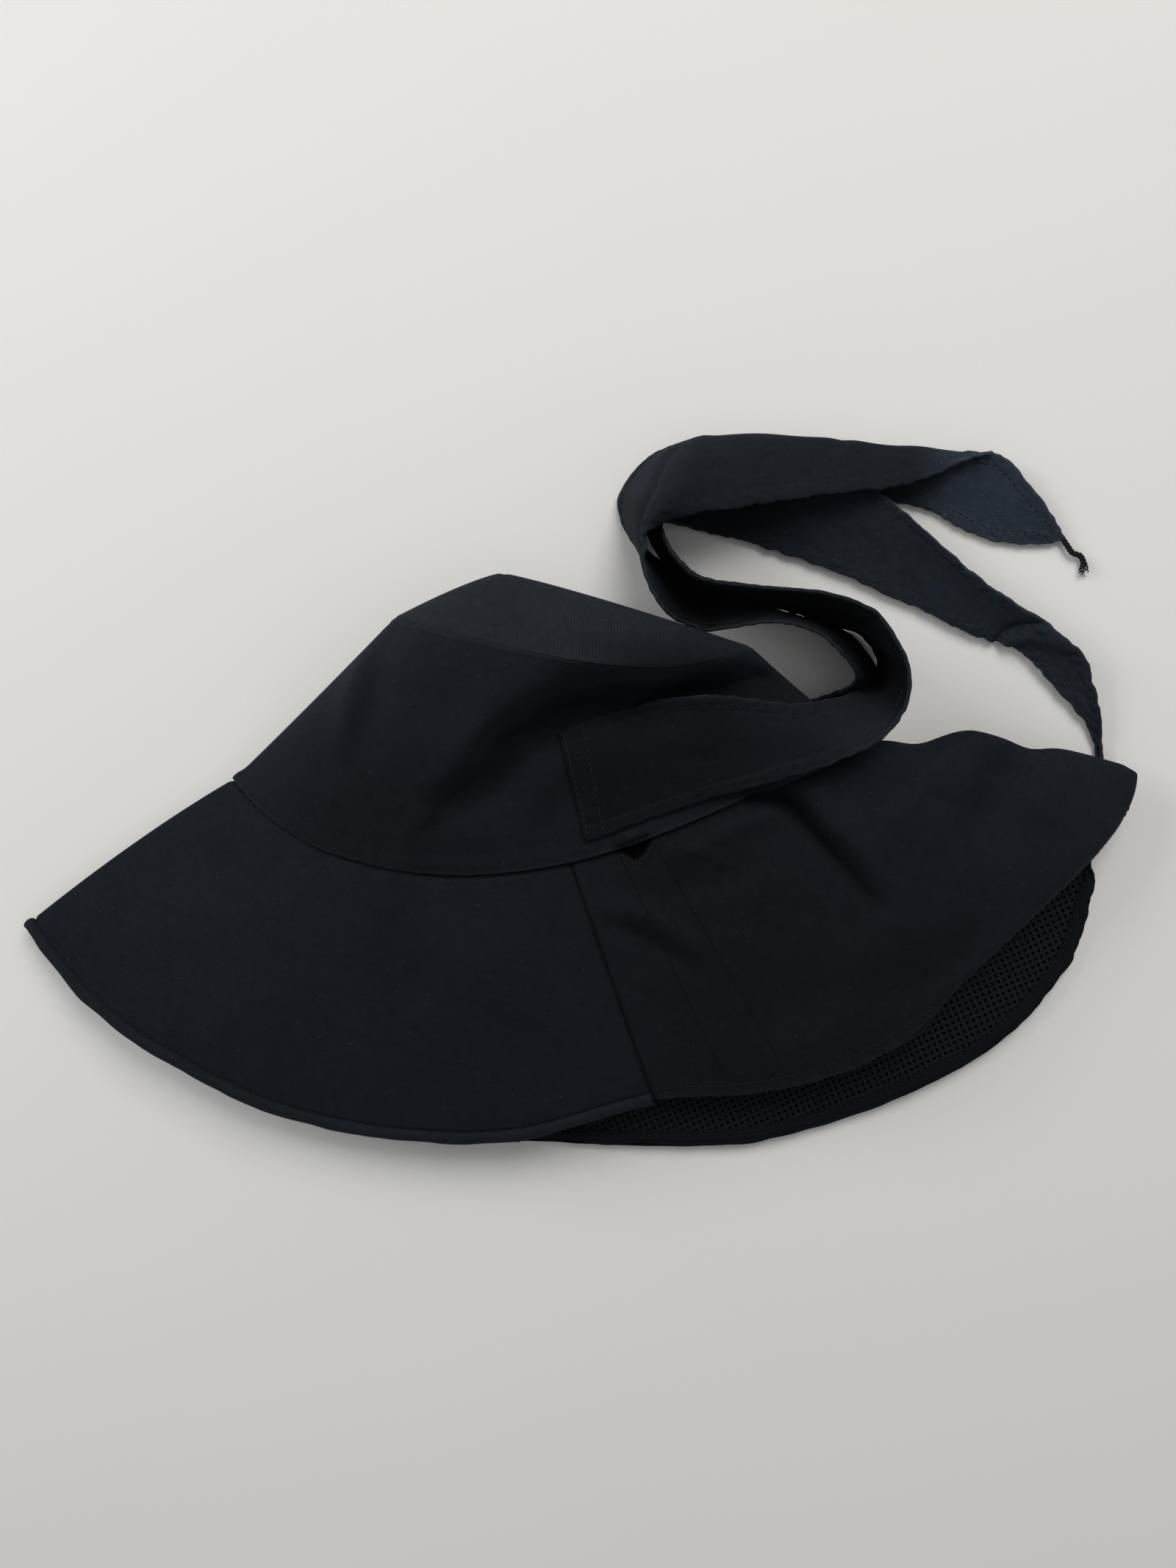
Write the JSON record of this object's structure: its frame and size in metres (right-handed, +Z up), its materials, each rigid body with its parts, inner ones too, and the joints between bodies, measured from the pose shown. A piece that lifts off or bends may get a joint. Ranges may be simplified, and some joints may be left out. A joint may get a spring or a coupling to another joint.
{
  "type": "sun hat with ties",
  "caption": "Soft cloth sun hat lying flat on its side, with a stiff front brim, a longer mesh-lined back brim and two sewn sash ties.",
  "frame": {"origin": "middle of the laid hat on the surface it rests on", "axes": "+X from the front brim to the back brim, +Y from the hem to the top of the crown, +Z up from the table through the hat's left side"},
  "size_m": [0.4632, 0.2958, 0.0711],
  "materials": {
    "cloth": "fine twill, dark navy to black, matt",
    "mesh": "open square mesh",
    "thread": "spun sewing thread",
    "elastic": "ribbed woven elastic",
    "label": "blank satin tape",
    "wire": "coated brim wire"
  },
  "bodies": {
    "root": {"crown_tip": "cloth", "side_band": "cloth", "front_brim": "cloth", "back_brim": "cloth", "tip_lining": "mesh", "band_mesh_lining": "mesh", "front_brim_lining": "cloth", "back_brim_mesh_lining": "mesh", "sweatband": "cloth", "back_elastic": "elastic", "care_label": "label", "front_hem": "cloth", "brim_wire": "wire", "back_hem": "cloth", "left_tie": "cloth", "right_tie": "cloth", "left_tie_stitches": "thread", "right_tie_stitches": "thread", "right_tie_tail": "thread", "tip_topstitch": "thread", "front_hem_topstitch": "thread", "back_hem_topstitch": "thread", "left_side_seam": "cloth", "right_side_seam": "cloth", "slit_binding": "thread"}
  },
  "joints": []
}
